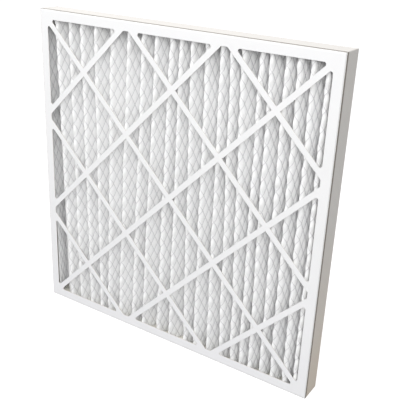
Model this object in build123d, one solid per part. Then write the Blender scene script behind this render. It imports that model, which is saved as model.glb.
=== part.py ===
"""Pleated panel air filter: a folded media pack held in two nested die-cut board trays.

X is the width, Z the height and Y the depth, and the front face looks towards -Y.
The origin is at the middle of the bottom edge, on which the filter stands.
All sizes are in millimetres.
"""
from build123d import *
from itertools import accumulate
from math import asin, degrees, hypot, sqrt
import os

# Outside of the frame
width = 594.0
height = 594.0
depth = 45.0

# Board of the two trays, and how the front tray nests in the rear one
board = 0.8
fold_inside_radius = 0.4
nest_gap = 0.2
front_edge_step = 0.8
wall_end_gap = 0.5
corner_slit = 0.3

# Die-cut lattice of both faces
border = 17.5
strap_width = 10.0
diamond_diagonal = 194.8
border_corner_radius = 3.5
touching = 0.01
smallest_opening = 12.0

# Pleated media. Each crest's distance from the one before is as uneven as in a
# pack spread by hand, and all are stretched together to fill the frame.
media_thickness = 1.8
tightest_bend_radius = 0.8
pack_gap = 1.8
end_flap_gap = 6.0
first_crest_offset = 42.0
last_crest_offset = 23.0
crest_spacing = [30, 28, 29, 29, 33, 32, 26, 33, 24, 28, 26, 28, 23, 22, 25, 18, 25, 21, 23, 22]

# Expanded steel grid bonded to the front of the media
strand_thickness = 0.5
strand_width = 1.4
mesh_rows = 2

# Adhesive that bonds the pack to the four walls
adhesive_thickness = 0.6
adhesive_inset = 1.5

# Levels through the depth
front_face = -depth / 2
rear_face = depth / 2
front_board_inside = front_face + board
rear_board_inside = rear_face - board
front_wall_end = rear_board_inside - wall_end_gap
rear_wall_end = front_face + front_edge_step

# The front tray inside the rear one, and the room inside both
fold_radius = board + fold_inside_radius
front_tray_width = width - 2 * (board + nest_gap)
front_tray_height = height - 2 * (board + nest_gap)
room_width = front_tray_width - 2 * board
room_height = front_tray_height - 2 * board
pack_width = room_width - 2 * adhesive_thickness
pack_height = room_height - 2 * adhesive_thickness
middle_height = height / 2

# Bends of the media: crests reach towards the front board, valleys the rear board
bend_radius = tightest_bend_radius + strand_thickness + media_thickness / 2
pack_front = front_board_inside + pack_gap
crest_middle = pack_front + strand_thickness + media_thickness / 2 + bend_radius
valley_middle = rear_board_inside - pack_gap - media_thickness / 2 - bend_radius


def channel(span, wall_depth, length):
    """Folded board: a flat web on Y = 0 and a wall at each end of the span, towards +Y."""
    grow_back = (Align.CENTER, Align.MIN)
    outside = Rectangle(span, wall_depth, align=grow_back)
    outside = fillet(outside.vertices().group_by(Axis.Y)[0], fold_radius)
    inside = Pos(0, board) * Rectangle(span - 2 * board, wall_depth, align=grow_back)
    inside = fillet(inside.vertices().group_by(Axis.Y)[0], fold_inside_radius)
    return extrude(outside - inside, length / 2, both=True)


def lattice_openings():
    """Die-cut openings of a face: the window inside the border less the diagonal straps."""
    window_width = width - 2 * border
    window_height = height - 2 * border
    window = Rectangle(window_width, window_height)
    straps = Sketch()
    strap_spacing = diamond_diagonal / sqrt(2)
    straps_each_side = int((window_width + window_height) / 2 / diamond_diagonal)
    for number in range(-straps_each_side, straps_each_side + 1):
        strap = Pos(0, number * strap_spacing) * Rectangle(width + height, strap_width)
        straps += Rot(0, 0, 45) * strap
        straps += Rot(0, 0, -45) * strap
    openings = Sketch()
    for opening in (window - straps).faces():
        size = opening.bounding_box().size
        if min(size.X, size.Y) > smallest_opening:
            openings += opening

    def on_border(corner):
        side_distance = window_width / 2 - abs(corner.X)
        end_distance = window_height / 2 - abs(corner.Y)
        return min(side_distance, end_distance) < touching

    return fillet(openings.vertices().filter_by(on_border), border_corner_radius)


def tray(span, rise, wall_depth):
    """Tray folded from one sheet: a lattice face on Y = 0 and four walls towards +Y.

    The side walls run the whole height and cover the ends of the top and bottom walls.
    """
    flap_span = span - 2 * fold_radius
    side_walls = channel(span, wall_depth, rise)
    for end in (-1, 1):
        fold_strip = Box(flap_span, 2 * board, fold_radius)
        side_walls -= Pos(0, 0, end * (rise - fold_radius) / 2) * fold_strip
    end_walls = Rot(0, 90, 0) * channel(rise, wall_depth, flap_span - 2 * corner_slit)
    cuts = extrude(Plane.XZ * lattice_openings(), 2 * board, both=True)
    return side_walls + end_walls - cuts


def pleat_folds():
    """Folds of the media from wall to wall, as (centre, bend radius, side).

    Side is +1 at a front crest and -1 at a rear valley. The free edges of the two end
    flaps, which lie along the walls, are crests of no radius.
    """
    flap_x = (pack_width - media_thickness) / 2
    flap_edge = front_board_inside + end_flap_gap
    crest_run = room_width - first_crest_offset - last_crest_offset
    stretch = crest_run / sum(crest_spacing)
    first_crest = first_crest_offset - room_width / 2
    crests = [first_crest + stretch * run for run in accumulate(crest_spacing, initial=0)]
    valleys = [(left + right) / 2 for left, right in zip(crests, crests[1:])]

    folds = [(Vector(-flap_x, flap_edge), 0, 1)]
    folds.append((Vector(bend_radius - flap_x, valley_middle), bend_radius, -1))
    for crest, valley in zip(crests, valleys + [flap_x - bend_radius]):
        folds.append((Vector(crest, crest_middle), bend_radius, 1))
        folds.append((Vector(valley, valley_middle), bend_radius, -1))
    folds.append((Vector(flap_x, flap_edge), 0, 1))
    return folds


def folded_line(offset):
    """Edges of the line that lies this far in front of the middle of the folded media."""
    folds = pleat_folds()
    edges = []
    arrival = None
    for (start, start_bend, side), (end, end_bend, next_side) in zip(folds, folds[1:]):
        start_radius = start_bend + side * offset
        end_radius = end_bend + next_side * offset
        run = end - start
        lean = degrees(asin((start_radius + end_radius) / run.length))
        direction = run.normalized().rotate(Axis.Z, side * lean)
        normal = Vector(direction.Y, -direction.X)
        leaving = start + normal * (side * start_radius)
        if arrival:
            arrival_point, arrival_normal = arrival
            middle = start + (arrival_normal + normal).normalized() * (side * start_radius)
            edges.append(ThreePointArc(arrival_point, middle, leaving))
        arrival_point = end + normal * (next_side * end_radius)
        edges.append(Line(leaving, arrival_point))
        arrival = (arrival_point, normal)
    return edges


def raise_section(edges):
    """Sheet with this closed outline for a section, over the height of the pack."""
    return Pos(0, 0, middle_height) * extrude(make_face(edges), pack_height / 2, both=True)


def pleated_media():
    """Filter sheet folded into rounded pleats, with an end flap along each side wall."""
    front = folded_line(media_thickness / 2)
    back = folded_line(-media_thickness / 2)
    left_end = Line(back[0] @ 0, front[0] @ 0)
    right_end = Line(back[-1] @ 1, front[-1] @ 1)
    return raise_section(front + back + [left_end, right_end])


def grid_corners(offset, crest_level, valley_level):
    """Corners of one face of the folded grid: flanks along the media, flats at the folds."""

    def at_level(flank, level):
        start, end = flank @ 0, flank @ 1
        return start + (end - start) * ((level - start.Y) / (end.Y - start.Y))

    flanks = folded_line(offset)[::2]
    corners = [flanks[0] @ 0]
    for number, (flank, next_flank) in enumerate(zip(flanks, flanks[1:])):
        level = crest_level if number % 2 else valley_level
        corners += [at_level(flank, level), at_level(next_flank, level)]
    return corners + [flanks[-1] @ 1]


def mesh_gaps():
    """Gaps of the grid as seen from the side: triangles that point to and fro in turn."""
    margin = strand_thickness
    reach = valley_middle - pack_front
    rise = pack_height / mesh_rows / 2
    strand_run = hypot(reach, rise)
    apex = reach - strand_width / 2 * strand_run / rise
    half_base = rise * (reach + margin) / reach - strand_width / 2 * strand_run / reach
    gap = Polygon((-margin, half_base), (-margin, -half_base), (apex, 0), align=None)
    from_valley = Pos(reach, 0) * Rot(0, 0, 180) * gap
    gaps = Sketch()
    for row in range(mesh_rows):
        gaps += Pos(0, rise * (2 * row + 1)) * gap
    for row in range(mesh_rows + 1):
        gaps += Pos(0, rise * 2 * row) * from_valley
    return Plane.YZ * Pos(pack_front, middle_height - pack_height / 2) * gaps


def support_grid():
    """Expanded steel grid folded with the media and bonded to its front."""
    media_front = media_thickness / 2
    against_media = grid_corners(media_front, pack_front + strand_thickness, valley_middle)
    valley_front = valley_middle - strand_thickness
    towards_front = grid_corners(media_front + strand_thickness, pack_front, valley_front)
    outline = Polyline(against_media + towards_front[::-1], close=True)
    return raise_section(outline.edges()) - extrude(mesh_gaps(), pack_width / 2, both=True)


def adhesive_strip(length):
    """Adhesive along a wall: its length on X, its bonded face down on Z = 0."""
    strip_depth = front_wall_end - front_board_inside - 2 * adhesive_inset
    middle = (front_wall_end + front_board_inside) / 2
    bonded_down = (Align.CENTER, Align.CENTER, Align.MIN)
    return Pos(0, middle, 0) * Box(length, strip_depth, adhesive_thickness, align=bonded_down)


front_wall_depth = front_wall_end - front_face
rear_wall_depth = rear_face - rear_wall_end
front_place = Pos(0, front_face, middle_height)
rear_place = Pos(0, rear_face, middle_height) * Rot(0, 0, 180)

nodes = {
    "front_tray": front_place * tray(front_tray_width, front_tray_height, front_wall_depth),
    "rear_tray": rear_place * tray(width, height, rear_wall_depth),
    "pleated_media": pleated_media(),
    "support_grid": support_grid(),
}

middle = Pos(0, 0, middle_height)
end_strip = Pos(0, 0, -room_height / 2) * adhesive_strip(room_width)
side_strip = Pos(0, 0, -room_width / 2) * adhesive_strip(pack_height)
nodes["adhesive_bottom"] = middle * end_strip
nodes["adhesive_top"] = middle * Rot(0, 180, 0) * end_strip
nodes["adhesive_left"] = middle * Rot(0, 90, 0) * side_strip
nodes["adhesive_right"] = middle * Rot(0, -90, 0) * side_strip

os.makedirs("parts", exist_ok=True)
for name, solid in nodes.items():
    export_step(solid, f"parts/{name}.step")
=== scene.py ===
import math

import bpy
import numpy as np
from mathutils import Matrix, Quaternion, Vector


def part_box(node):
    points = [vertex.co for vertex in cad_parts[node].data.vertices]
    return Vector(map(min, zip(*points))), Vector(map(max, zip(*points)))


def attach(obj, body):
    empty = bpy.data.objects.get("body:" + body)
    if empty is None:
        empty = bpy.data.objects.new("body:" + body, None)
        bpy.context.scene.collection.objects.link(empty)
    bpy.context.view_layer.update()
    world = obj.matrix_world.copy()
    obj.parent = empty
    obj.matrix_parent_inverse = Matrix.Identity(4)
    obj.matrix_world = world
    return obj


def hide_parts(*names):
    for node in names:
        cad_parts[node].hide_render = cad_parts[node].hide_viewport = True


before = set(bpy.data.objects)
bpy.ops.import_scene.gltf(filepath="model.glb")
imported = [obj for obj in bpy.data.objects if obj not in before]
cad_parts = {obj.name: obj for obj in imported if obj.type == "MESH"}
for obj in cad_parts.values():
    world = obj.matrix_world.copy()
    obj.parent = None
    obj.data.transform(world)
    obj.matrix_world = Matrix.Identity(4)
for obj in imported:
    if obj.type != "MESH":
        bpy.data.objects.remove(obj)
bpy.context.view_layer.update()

MM = 0.001

# Camera: its place, its line of sight, its roll about that line, and a lens for a 36 mm sensor
CAMERA_PLACE = Vector((0.6424, -0.9331, 0.7594))
CAMERA_SIGHT = Vector((-0.494, 0.780, -0.384))
CAMERA_ROLL = math.radians(2.56)
CAMERA_LENS = 61.235

# Light: each lamp's place, side and power, and the strength of an even pale sky.
# The key lamp hangs high in front to the left, and the fill lamp lower in front to the right.
KEY_LAMP = (Vector((-0.66, -0.80, 2.40)), 1.0, 35.0)
FILL_LAMP = (Vector((1.20, -1.90, 1.60)), 1.2, 19.0)
LAMP_TARGET = Vector((0.0, 0.0, 0.40))
SKY_STRENGTH = 0.76
FLOOR_SPAN = 30.0
FLOOR_COLOUR = (0.30, 0.30, 0.30, 1)
SHADOW_SHARE = 0.30

# Folded media, in millimetres unless a name says otherwise
BOARD = 0.8
MEDIA_THICKNESS = 1.8
BEND_RADIUS = 2.2
STRAND_THICKNESS = 0.5
STRAND_WIDTH = 1.2
FIRST_CREST_OFFSET = 42.0
LAST_CREST_OFFSET = 23.0
CREST_SPACING = [30, 28, 29, 29, 33, 32, 26, 33, 24, 28, 26, 28, 23, 22, 25, 18, 25, 21, 23, 22]
# How far each crest leans to the right from the top of the pack to its bottom
CREST_LEAN = [14, 9, 10, 4, -11, -19, -18, -20, -14, -6, 5, 0, 1, 10, 14, 2, 4, 1, 2, 5, 2]
LEAN_SPAN = 490.0
FLAP_EDGE_GAP = 6.0

# How far crests and valleys wander from a straight line, and how many turns they take on the way
CREST_WANDER = 0.8
VALLEY_WANDER = 1.6
CREST_SEED = 3
VALLEY_SEED = 5
WANDER_TURNS = (1.5, 3.0)
WANDER_WAVES = 3
WANDER_SWING = 1.5

# Diamonds of the expanded steel on the unfolded media, and how far the media puffs through them.
# The table of puff shares has more places each way than there are diamonds.
DIAMOND_HEIGHT = 28.7
DIAMOND_WIDTH = 14.5
PUFF_RISE = 2.2
PUFF_CLEARANCE = 0.1
PUFF_FULLNESS = 0.9
PUFF_SHARES = (0.7, 1.0)
PUFF_SEED = 11
PUFF_TABLE = (400, 400)
PUFF_AT_VALLEY = 0.25
STRAND_LIFT = 0.45

# Board: the coated face and what it fades to at the bottom, the lining and the raw core.
# The fade at the bottom is painted light: painted shade on the front face, and a painted warm
# reflection of the floor on the rear face.
# COATING_SLACK is how far a border between two of them keeps from the board's own faces.
FRONT_FACE = (0.91, 0.91, 0.915, 1)
FRONT_FACE_LOW_PAINTED_SHADE = (0.89, 0.89, 0.91, 1)
# The rear tray's face colour is darker than the front's as painted shade: it is the same white
# board, darkened for its walls in the shade.
REAR_FACE_PAINTED_SHADE = (0.62, 0.60, 0.575, 1)
REAR_FACE_LOW_PAINTED_REFLECTION = (0.60, 0.51, 0.41, 1)
PAINTED_LIGHT_FADE_HEIGHT = 0.32
CLOUD_SHARE = 0.965
LINING = (0.74, 0.73, 0.70, 1)
CORE = (0.66, 0.62, 0.56, 1)
COATING_SLACK = 0.05

# Painted shadow line along the front edge of the rear tray's walls, where they meet the front
# tray: the depths between which the painted shadow fades out, and its colour. The end of the
# walls, which faces the front, is pale.
SHADOW_LINE_FULL = -17.9
SHADOW_LINE_NONE = -14.9
PAINTED_SHADOW_COLOUR = (0.15, 0.13, 0.11, 1)
RIM_END_COLOUR = (0.82, 0.81, 0.79, 1)

# Left end flap: over its lower part its free edge stands off the wall
FLAP_STANDOFF = 11.5
FLAP_STANDS_BELOW = 300.0
FLAP_STANDS_OVER = 160.0

# Meshes: a lattice across each diamond, heights at which the folds are worked out,
# and points of each flank and bend between which the middle surface is even
LATTICE_STEPS = 8
ROWS = 60
FLANK_SHARES = [0.0, 0.35, 0.7, 1.0]
BEND_STEPS = 8
BACK_ROWS = 4


def make_camera():
    data = bpy.data.cameras.new("camera")
    data.sensor_width = 36
    data.lens = CAMERA_LENS
    camera = bpy.data.objects.new("camera", data)
    camera.location = CAMERA_PLACE
    level = CAMERA_SIGHT.to_track_quat("-Z", "Y")
    camera.rotation_euler = (level @ Quaternion((0, 0, 1), CAMERA_ROLL)).to_euler()
    bpy.context.scene.collection.objects.link(camera)
    bpy.context.scene.camera = camera


def make_lamp(name, place, side, watts):
    data = bpy.data.lights.new(name, "AREA")
    data.energy = watts
    data.size = side
    lamp = bpy.data.objects.new(name, data)
    lamp.location = place
    lamp.rotation_euler = (place - LAMP_TARGET).to_track_quat("Z", "Y").to_euler()
    bpy.context.scene.collection.objects.link(lamp)


def make_sky():
    """Pale sky that is plain white to the camera and in reflections."""
    world = bpy.data.worlds.new("sky")
    bpy.context.scene.world = world
    tree = Tree(world)
    lit = tree.add("ShaderNodeBackground", Color=(1, 1, 1, 1), Strength=SKY_STRENGTH)
    white = tree.add("ShaderNodeBackground", Color=(1, 1, 1, 1), Strength=1.0)
    tree.show(white, lit)


def make_floor():
    """Level floor that is white to the camera and keeps the filter's shadow."""
    half = FLOOR_SPAN / 2
    corners = [(-half, -half, 0), (half, -half, 0), (half, half, 0), (-half, half, 0)]
    floor = mesh_object("floor", corners, [(0, 1, 2, 3)])
    material = bpy.data.materials.new("floor")
    tree = Tree(material)
    bounce = tree.add("ShaderNodeBsdfDiffuse", Color=FLOOR_COLOUR)
    shaded = tree.add("ShaderNodeBsdfDiffuse", Color=(SHADOW_SHARE,) * 3 + (1,))
    white = tree.add("ShaderNodeEmission", Color=(1, 1, 1, 1), Strength=1 - SHADOW_SHARE / 2)
    backdrop = tree.add("ShaderNodeAddShader")
    tree.link(shaded.outputs[0], backdrop.inputs[0])
    tree.link(white.outputs[0], backdrop.inputs[1])
    tree.show(backdrop, bounce)
    floor.data.materials.append(material)


class Tree:
    """Short forms for building the node tree of a material or world."""

    def __init__(self, owner):
        owner.use_nodes = True
        self.nodes = owner.node_tree.nodes
        self.links = owner.node_tree.links
        self.nodes.clear()
        of_world = isinstance(owner, bpy.types.World)
        output = self.nodes.new("ShaderNodeOutputWorld" if of_world else "ShaderNodeOutputMaterial")
        self.surface = output.inputs["Surface"]

    def show(self, seen, lighting):
        """Joins a shader for the camera and reflections, and one for all other light."""
        path = self.add("ShaderNodeLightPath")
        rays = self.math("MAXIMUM", path.outputs["Is Camera Ray"], path.outputs["Is Glossy Ray"])
        mixed = self.add("ShaderNodeMixShader", Fac=rays)
        self.link(lighting.outputs[0], mixed.inputs[1])
        self.link(seen.outputs[0], mixed.inputs[2])
        self.link(mixed.outputs[0], self.surface)

    def add(self, kind, **inputs):
        """New node; an input's name has an underscore for each space."""
        node = self.nodes.new(kind)
        for name, value in inputs.items():
            socket = node.inputs[name.replace("_", " ")]
            self.put(value, socket)
        return node

    def put(self, value, socket):
        if isinstance(value, bpy.types.NodeSocket):
            self.links.new(value, socket)
        else:
            socket.default_value = value

    def link(self, source, socket):
        self.links.new(source, socket)

    def math(self, operation, *values):
        node = self.nodes.new("ShaderNodeMath")
        node.operation = operation
        for number, value in enumerate(values):
            self.put(value, node.inputs[number])
        return node.outputs[0]

    def mix(self, share, first, second):
        node = self.nodes.new("ShaderNodeMix")
        node.data_type = "RGBA"
        self.put(share, node.inputs[0])
        self.put(first, node.inputs[6])
        self.put(second, node.inputs[7])
        return node.outputs[2]

    def place(self):
        return self.nodes.new("ShaderNodeTexCoord").outputs["Object"]

    def stretch(self, vector, scale):
        node = self.nodes.new("ShaderNodeMapping")
        self.links.new(vector, node.inputs["Vector"])
        node.inputs["Scale"].default_value = scale
        return node.outputs[0]

    def noise(self, vector, scale, detail=4.0, roughness=0.55):
        node = self.add("ShaderNodeTexNoise", Vector=vector, Scale=scale, Detail=detail)
        node.inputs["Roughness"].default_value = roughness
        return node.outputs["Fac"]

    def ramp(self, value, low, high):
        """0 below low, 1 above high, and even between them."""
        node = self.nodes.new("ShaderNodeMapRange")
        self.put(value, node.inputs["Value"])
        node.inputs["From Min"].default_value = low
        node.inputs["From Max"].default_value = high
        return node.outputs["Result"]

    def bump(self, height, strength, distance):
        node = self.add("ShaderNodeBump", Height=height, Strength=strength, Distance=distance)
        return node.outputs[0]


def mesh_object(name, points, faces, smooth=False):
    mesh = bpy.data.meshes.new(name)
    mesh.from_pydata(points, [], faces)
    mesh.update()
    if smooth:
        mesh.polygons.foreach_set("use_smooth", [True] * len(mesh.polygons))
    obj = bpy.data.objects.new(name, mesh)
    bpy.context.scene.collection.objects.link(obj)
    return obj


def wander(rows, columns, seed):
    """Smooth wandering of each column over the rows, about 1 either way."""
    random = np.random.default_rng(seed)
    height = np.linspace(0, 1, rows)[:, None]
    total = np.zeros((rows, columns))
    for wave in range(1, WANDER_WAVES + 1):
        turns = random.uniform(*WANDER_TURNS, columns) * wave
        phase = random.uniform(0, 2 * math.pi, columns)
        total += np.sin(2 * math.pi * turns * height + phase) / wave
    return total / WANDER_SWING


class Pack:
    """The folded media: places of its middle surface, with their front normals.

    Rows run up the height and columns run along the fold line, from wall to wall.
    """

    def __init__(self):
        low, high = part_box("pleated_media")
        tray_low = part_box("front_tray")[0]
        self.low, self.high = low / MM, high / MM
        self.height = self.high.z - self.low.z
        self.middle_z = (self.high.z + self.low.z) / 2
        puff_front = tray_low.y / MM + BOARD + PUFF_CLEARANCE
        self.crest_y = puff_front + PUFF_RISE + MEDIA_THICKNESS / 2 + BEND_RADIUS
        self.valley_y = self.high.y - MEDIA_THICKNESS / 2 - BEND_RADIUS
        self.flap_y = tray_low.y / MM + FLAP_EDGE_GAP
        self.z = np.linspace(self.low.z, self.high.z, ROWS + 1)
        self.make_folds()
        self.make_surface()

    def make_folds(self):
        """Centres, bend radii and sides of the folds at each height."""
        up = (self.middle_z - self.z)[:, None] / LEAN_SPAN
        rows = len(self.z)
        room_low, room_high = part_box("adhesive_bottom")
        run = (room_high.x - room_low.x) / MM - FIRST_CREST_OFFSET - LAST_CREST_OFFSET
        stretch = run / sum(CREST_SPACING)
        straight = room_low.x / MM + FIRST_CREST_OFFSET + stretch * np.cumsum([0] + CREST_SPACING)
        crests = straight[None, :] + up * np.array(CREST_LEAN)[None, :]
        crests = crests + CREST_WANDER * wander(rows, len(straight), CREST_SEED)
        valleys = (crests[:, :-1] + crests[:, 1:]) / 2
        valleys = valleys + VALLEY_WANDER * wander(rows, len(straight) - 1, VALLEY_SEED)
        wall = np.full((rows, 1), self.high.x - MEDIA_THICKNESS / 2)
        loose = np.clip((FLAP_STANDS_BELOW - self.z) / FLAP_STANDS_OVER, 0, 1)
        standoff = (FLAP_STANDOFF * loose * loose * (3 - 2 * loose))[:, None]
        columns = [-wall + standoff, -wall + BEND_RADIUS]
        levels = [self.flap_y, self.valley_y]
        radii, sides = [0.0, BEND_RADIUS], [1, -1]
        for number in range(len(straight)):
            last = number == len(straight) - 1
            columns += [crests[:, number:number + 1]]
            columns += [wall - BEND_RADIUS if last else valleys[:, number:number + 1]]
            levels += [self.crest_y, self.valley_y]
            radii += [BEND_RADIUS, BEND_RADIUS]
            sides += [1, -1]
        columns += [wall]
        levels += [self.flap_y]
        radii += [0.0]
        sides += [1]
        x = np.hstack(columns)
        y = np.broadcast_to(np.array(levels), x.shape)
        self.centres = np.stack([x, y], axis=2)
        self.reach = np.array(radii) * np.array(sides)
        self.sides = np.array(sides)

    def make_surface(self):
        """Points and front normals along the fold line at each height."""
        start, end = self.centres[:, :-1], self.centres[:, 1:]
        run = end - start
        length = np.linalg.norm(run, axis=2)
        radii = np.abs(self.reach)
        lean = self.sides[:-1] * np.arcsin((radii[:-1] + radii[1:]) / length)
        along = run / length[..., None]
        cos, sin = np.cos(lean), np.sin(lean)
        ahead_x = along[..., 0] * cos - along[..., 1] * sin
        ahead_y = along[..., 0] * sin + along[..., 1] * cos
        normal = np.stack([ahead_y, -ahead_x], axis=2)
        angle = np.arctan2(normal[..., 1], normal[..., 0])
        leaving = start + normal * self.reach[:-1, None]
        arrival = end + normal * self.reach[1:, None]
        points, normals, near_crest, on_bend = [], [], [], []
        flanks = run.shape[1]
        for number in range(flanks):
            for share in FLANK_SHARES:
                points.append(leaving[:, number] * (1 - share) + arrival[:, number] * share)
                normals.append(normal[:, number])
                near_crest.append(1 - share if self.sides[number] > 0 else share)
                on_bend.append(share in (0, 1))
            if number == flanks - 1:
                break
            for share in np.arange(1, BEND_STEPS) / BEND_STEPS:
                turned = angle[:, number] * (1 - share) + angle[:, number + 1] * share
                outward = np.stack([np.cos(turned), np.sin(turned)], axis=1)
                points.append(end[:, number] + outward * self.reach[number + 1])
                normals.append(outward)
                near_crest.append(1.0 if self.sides[number + 1] > 0 else 0.0)
                on_bend.append(True)
        self.points = np.stack(points, axis=1)
        self.normals = np.stack(normals, axis=1)
        self.near_crest = np.array(near_crest)
        self.on_bend = np.array(on_bend)
        steps = np.diff(self.points[ROWS // 2], axis=0)
        self.unfolded = np.concatenate([[0], np.cumsum(np.linalg.norm(steps, axis=1))])
        self.flat_length = self.unfolded[-1]
        self.steps_along = 2 * round(self.flat_length / DIAMOND_WIDTH * LATTICE_STEPS / 2)
        self.steps_up = 2 * round(self.height / DIAMOND_HEIGHT * LATTICE_STEPS / 2)

    def at(self, along, z):
        """Points and front normals of the middle surface, by unfolded distance and height."""
        column = np.interp(along, self.unfolded, np.arange(len(self.unfolded)))
        row = (z - self.low.z) / self.height * ROWS
        i = np.clip(row.astype(int), 0, ROWS - 1)
        j = np.clip(column.astype(int), 0, len(self.unfolded) - 2)
        up, across = (row - i)[:, None], (column - j)[:, None]

        def between(values):
            lower = values[i, j] * (1 - across) + values[i, j + 1] * across
            upper = values[i + 1, j] * (1 - across) + values[i + 1, j + 1] * across
            return lower * (1 - up) + upper * up

        point, normal = between(self.points), between(self.normals)
        normal = normal / np.linalg.norm(normal, axis=1)[:, None]
        return np.column_stack([point, z]), np.column_stack([normal, np.zeros(len(z))])


def make_front(pack):
    """Front of the media: a lattice along the strands' two diagonals, as points and faces.

    Also gives the number of each lattice place, or -1 where it has no point.
    """
    up, along = np.indices((pack.steps_up + 1, pack.steps_along + 1))
    on_lattice = (up + along) % 2 == 0
    number = np.where(on_lattice, np.cumsum(on_lattice).reshape(on_lattice.shape) - 1, -1)
    up, along = up[on_lattice], along[on_lattice]
    unfolded = along / pack.steps_along * pack.flat_length
    point, normal = pack.at(unfolded, pack.low.z + up / pack.steps_up * pack.height)
    ridge = np.abs(np.cos(math.pi * (up + along) / LATTICE_STEPS))
    ridge = ridge * np.abs(np.cos(math.pi * (along - up) / LATTICE_STEPS))
    near_crest = np.interp(unfolded, pack.unfolded, pack.near_crest)
    diamond = tuple(np.round(n / LATTICE_STEPS).astype(int) for n in (up + along, along - up))
    fullest = np.random.default_rng(PUFF_SEED).uniform(*PUFF_SHARES, PUFF_TABLE)[diamond]
    rise = PUFF_RISE * fullest * ridge ** PUFF_FULLNESS * np.clip(near_crest * 2, PUFF_AT_VALLEY, 1)
    point = point + normal * (MEDIA_THICKNESS / 2 + rise)[:, None]

    ring = np.pad(number, 1, constant_values=-1)
    below, above = ring[:-2, 1:-1], ring[2:, 1:-1]
    left, right = ring[1:-1, :-2], ring[1:-1, 2:]
    around = np.stack([below, right, above, left], axis=2)[number < 0]
    corners = (around >= 0).sum(axis=1)
    faces = around[corners == 4].tolist()
    faces += [[n for n in face if n >= 0] for face in around[corners == 3].tolist()]
    return point, faces, number


def close_edge(front, back, front_at, back_at, flip):
    """Faces between an edge of the front and one of the back, which has fewer points."""
    nearest = [int(np.abs(front_at - place).argmin()) for place in back_at]
    faces = []
    for number in range(len(back) - 1):
        first, last = nearest[number], nearest[number + 1]
        face = [int(n) for n in front[first:last + 1]] + [int(back[number + 1]), int(back[number])]
        faces.append(face[::-1] if flip else face)
    return faces


def make_media(pack):
    """Closed sheet: the puffed front, a plain back with fewer points, and four edges."""
    front, faces, number = make_front(pack)
    rows = np.arange(0, ROWS + 1, BACK_ROWS)
    columns = np.flatnonzero(pack.on_bend)
    shift = pack.points - pack.normals * MEDIA_THICKNESS / 2
    flat = shift[rows][:, columns]
    back = np.dstack([flat, np.broadcast_to(pack.z[rows][:, None], flat.shape[:2])])
    at = len(front) + np.arange(len(rows) * len(columns)).reshape(len(rows), len(columns))
    quads = np.stack([at[:-1, :-1], at[1:, :-1], at[1:, 1:], at[:-1, 1:]], axis=2)
    faces += quads.reshape(-1, 4).tolist()

    up, along = np.linspace(0, 1, pack.steps_up + 1), np.linspace(0, 1, pack.steps_along + 1)
    back_up = rows / ROWS
    back_along = pack.unfolded[columns] / pack.flat_length
    for edge, back_edge, flip in ((0, at[0], True), (-1, at[-1], False)):
        used = number[edge] >= 0
        faces += close_edge(number[edge][used], back_edge, along[used], back_along, flip)
    for edge, back_edge, flip in ((0, at[:, 0], False), (-1, at[:, -1], True)):
        used = number[:, edge] >= 0
        faces += close_edge(number[:, edge][used], back_edge, up[used], back_up, flip)

    points = np.vstack([front, back.reshape(-1, 3)]) * MM
    media = mesh_object("filter_media", points.tolist(), faces, smooth=True)
    media.data.materials.append(media_material())
    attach(media, "root")
    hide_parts("pleated_media")


def strand_stops(pack):
    """Unfolded places where a strand gets a point: every second one of a bend, and the flanks'."""
    bends = pack.unfolded[pack.on_bend][::2]
    return np.unique(np.concatenate([bends, pack.unfolded[~pack.on_bend]]))


def flat_bar(line, normal, half_width, half_thick):
    """Closed bar along a line, as points and faces numbered from 0."""
    across = np.cross(normal, np.gradient(line, axis=0))
    across /= np.linalg.norm(across, axis=1)[:, None]
    corners = ((-1, -1), (-1, 1), (1, 1), (1, -1))
    ring = [line + normal * (a * half_thick) + across * (b * half_width) for a, b in corners]
    points = np.stack(ring, axis=1).reshape(-1, 3)
    faces = [(3, 2, 1, 0)]
    for base in range(0, len(points) - 4, 4):
        for side in range(4):
            beside = (side + 1) % 4
            faces.append((base + side, base + beside, base + 4 + beside, base + 4 + side))
    end = len(points) - 4
    faces.append((end, end + 1, end + 2, end + 3))
    return points, faces


def make_strands(pack):
    """Expanded steel: flat strands on both diagonals, in the creases of the media.

    A strand runs from the bottom of the pack to its top, and drifts along the unfolded media.
    """
    width = LATTICE_STEPS * pack.flat_length / pack.steps_along
    height = LATTICE_STEPS / pack.steps_up * pack.height
    drift = width * pack.height / height
    stops = strand_stops(pack)
    lift = MEDIA_THICKNESS / 2 + STRAND_LIFT
    points, faces = [], []
    for slope in (1, -1):
        before = drift if slope > 0 else 0.0
        first = width / 2 - math.ceil(before / width) * width
        for start in np.arange(first, pack.flat_length + drift, width):
            low = max(min(start, start + slope * drift), 0.0)
            high = min(max(start, start + slope * drift), pack.flat_length)
            if high - low < width / 2:
                continue
            inside = stops[(stops > low) & (stops < high)]
            along = np.concatenate([[low], inside, [high]])
            z = pack.low.z + (along - start) / (slope * drift) * pack.height
            place, normal = pack.at(along, z)
            place = place + normal * lift
            bar, bar_faces = flat_bar(place, normal, STRAND_WIDTH / 2, STRAND_THICKNESS / 2)
            base = len(points)
            points += (bar * MM).tolist()
            faces += [[base + n for n in face] for face in bar_faces]
    strands = mesh_object("expanded_steel", points, faces)
    strands.data.materials.append(steel_material())
    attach(strands, "root")
    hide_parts("support_grid")


def surface(name, **values):
    """New material with a principled shader, and its tree."""
    material = bpy.data.materials.new(name)
    tree = Tree(material)
    shader = tree.add("ShaderNodeBsdfPrincipled", **values)
    tree.link(shader.outputs[0], tree.surface)
    return material, tree, shader


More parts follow.
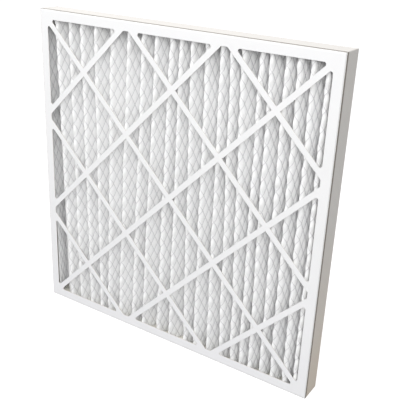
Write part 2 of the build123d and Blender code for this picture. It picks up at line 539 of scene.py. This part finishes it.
def media_material():
    """Soft white nonwoven: fine fibres in all directions, with faint cloudy patches."""
    sheen = {"Sheen_Weight": 0.25, "Sheen_Roughness": 0.5}
    material, tree, shader = surface("nonwoven", Roughness=0.9, **sheen)
    place = tree.place()
    clouds = tree.noise(place, scale=22.0, detail=3.0)
    stretched = tree.stretch(place, (1.0, 1.0, 0.35))
    fibres = tree.noise(stretched, scale=900.0, detail=6.0, roughness=0.7)
    cloudy = tree.ramp(clouds, low=0.35, high=0.70)
    colour = tree.mix(cloudy, (0.975, 0.978, 0.98, 1), (0.988, 0.988, 0.986, 1))
    shaded = tree.mix(0.03, colour, (0.6, 0.6, 0.6, 1))
    colour = tree.mix(tree.ramp(fibres, low=0.30, high=0.75), shaded, colour)
    tree.link(colour, shader.inputs["Base Color"])
    tree.link(tree.bump(fibres, strength=0.35, distance=0.0006), shader.inputs["Normal"])
    return material


def steel_material():
    """Dull galvanised steel with a faint spangle."""
    material, tree, shader = surface("galvanised_steel", Metallic=0.6)
    place = tree.place()
    spangle = tree.noise(place, scale=160.0, detail=3.0)
    colour = tree.mix(spangle, (0.70, 0.70, 0.71, 1), (0.82, 0.82, 0.83, 1))
    tree.link(colour, shader.inputs["Base Color"])
    tree.link(tree.ramp(spangle, low=-0.6, high=1.6), shader.inputs["Roughness"])
    tree.link(tree.bump(spangle, strength=0.2, distance=0.0003), shader.inputs["Normal"])
    return material


def board_material(name, face, painted_light_low_face, edge_low, edge_high, half_width, middle_z):
    """Coated board: face outside, lining inside the walls, and raw core on the cut edges.

    painted_light_low_face is what the face fades to at the bottom: painted light, not the board's
    own colour. The cut edges of the lattice lie between the depths edge_low and edge_high, and
    half_width from the middle reaches the walls' inside.
    Only the rear tray, whose edges lie behind the middle, has a painted shadow line along the
    front edge of its walls.
    """
    rear = edge_low > 0
    material, tree, shader = surface(name)
    place = tree.place()
    split = tree.add("ShaderNodeSeparateXYZ", Vector=place)
    x, y, z = split.outputs
    clouds = tree.noise(place, scale=9.0)
    stretched = tree.stretch(place, (1.0, 1.0, 0.4))
    grain = tree.noise(stretched, scale=420.0, detail=5.0, roughness=0.65)
    cloudy_face = [CLOUD_SHARE * c for c in face[:3]] + [1]
    coated = tree.mix(tree.ramp(clouds, low=0.3, high=0.8), face, cloudy_face)
    # Painted light: the face fades towards the bottom, painted shade on the front tray and a
    # painted warm floor reflection on the rear tray.
    painted_light_fade = tree.ramp(z, low=PAINTED_LIGHT_FADE_HEIGHT, high=0.0)
    painted_light_fade = tree.math("MULTIPLY", painted_light_fade, tree.ramp(clouds, low=-0.4, high=0.8))
    coated = tree.mix(painted_light_fade, coated, painted_light_low_face)

    far_z = tree.math("ABSOLUTE", tree.math("SUBTRACT", z, middle_z))
    out = tree.math("MAXIMUM", tree.math("ABSOLUTE", x), far_z)
    inside = tree.math("LESS_THAN", out, half_width)
    above = tree.math("GREATER_THAN", y, edge_low)
    below = tree.math("LESS_THAN", y, edge_high)
    core = tree.math("MULTIPLY", inside, tree.math("MULTIPLY", above, below))
    inner = ("LESS_THAN", y, edge_low) if rear else ("GREATER_THAN", y, edge_high)
    lined = tree.math("MULTIPLY", inside, tree.math(*inner))
    colour = tree.mix(lined, coated, LINING)
    colour = tree.mix(core, colour, CORE)
    if rear:
        # Painted shadow: a dark band on the outside of the rear tray's walls along their front
        # edge.
        outer = tree.math("GREATER_THAN", out, half_width + BOARD * MM)
        rim = tree.ramp(y, low=SHADOW_LINE_NONE * MM, high=SHADOW_LINE_FULL * MM)
        colour = tree.mix(tree.math("MULTIPLY", outer, rim), colour, PAINTED_SHADOW_COLOUR)
        wall_end = tree.math("SUBTRACT", tree.math("SUBTRACT", 1, inside), outer)
        colour = tree.mix(tree.math("MULTIPLY", wall_end, rim), colour, RIM_END_COLOUR)
    tree.link(colour, shader.inputs["Base Color"])
    tree.link(tree.ramp(grain, low=-0.9, high=1.3), shader.inputs["Roughness"])
    tree.link(tree.bump(grain, strength=0.12, distance=0.0003), shader.inputs["Normal"])
    return material


def glue_material():
    """Dried white glue: off-white, a little shiny and uneven."""
    material, tree, shader = surface("dried_glue")
    place = tree.place()
    lumps = tree.noise(place, scale=60.0, detail=3.0)
    colour = tree.mix(lumps, (0.78, 0.75, 0.66, 1), (0.90, 0.89, 0.84, 1))
    tree.link(colour, shader.inputs["Base Color"])
    tree.link(tree.ramp(lumps, low=-0.5, high=1.5), shader.inputs["Roughness"])
    tree.link(tree.bump(lumps, strength=0.5, distance=0.001), shader.inputs["Normal"])
    return material


def dress(node, material):
    """Puts a material on a CAD node."""
    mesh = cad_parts[node].data
    mesh.materials.clear()
    mesh.materials.append(material)


def dress_trays():
    board, slack = BOARD * MM, COATING_SLACK * MM
    low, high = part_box("front_tray")
    edges = (low.y + slack, low.y + board - slack)
    reach = (high.x - board - slack, (low.z + high.z) / 2)
    dress("front_tray", board_material("front_board", FRONT_FACE, FRONT_FACE_LOW_PAINTED_SHADE, *edges, *reach))
    low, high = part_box("rear_tray")
    edges = (high.y - board + slack, high.y - slack)
    reach = (high.x - board - slack, (low.z + high.z) / 2)
    dress("rear_tray", board_material("rear_board", REAR_FACE_PAINTED_SHADE, REAR_FACE_LOW_PAINTED_REFLECTION, *edges, *reach))


make_camera()
make_sky()
make_lamp("key_lamp", *KEY_LAMP)
make_lamp("fill_lamp", *FILL_LAMP)
make_floor()
pack = Pack()
make_media(pack)
make_strands(pack)
dress_trays()
glue = glue_material()
for node in ("adhesive_top", "adhesive_bottom", "adhesive_left", "adhesive_right"):
    dress(node, glue)

bpy.context.scene.view_settings.view_transform = "Standard"
